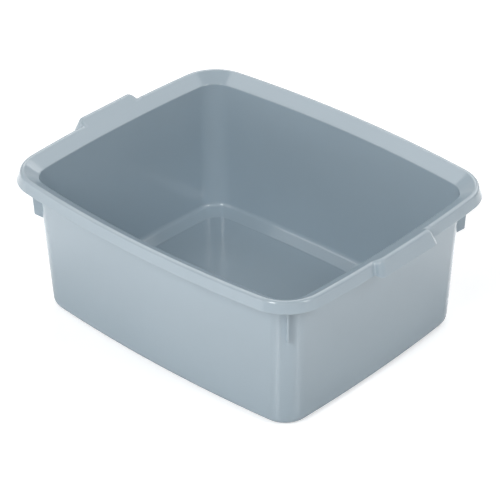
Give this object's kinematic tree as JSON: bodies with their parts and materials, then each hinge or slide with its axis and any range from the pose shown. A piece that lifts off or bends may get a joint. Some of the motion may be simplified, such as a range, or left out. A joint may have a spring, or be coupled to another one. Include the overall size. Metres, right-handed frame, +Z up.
{
  "type": "washing up bowl",
  "caption": "Rectangular washing up bowl with bowed sides, a flared rim with a turned-down skirt, raised end grips and corner webs; holds water for washing dishes.",
  "frame": {"origin": "middle of the foot, on the surface that the bowl stands on", "axes": "+X along the long side, from grip to grip; +Y along the short side; +Z up, out of the mouth"},
  "size_m": [0.39, 0.313, 0.1561],
  "materials": {
    "bowl": "semi-gloss moulded polypropylene, pale grey-blue"
  },
  "bodies": {
    "root": {"basin": "bowl", "rim": "bowl", "grip_left": "bowl", "grip_right": "bowl", "corner_web_front_left": "bowl", "corner_web_front_right": "bowl", "corner_web_back_left": "bowl", "corner_web_back_right": "bowl"}
  },
  "joints": []
}
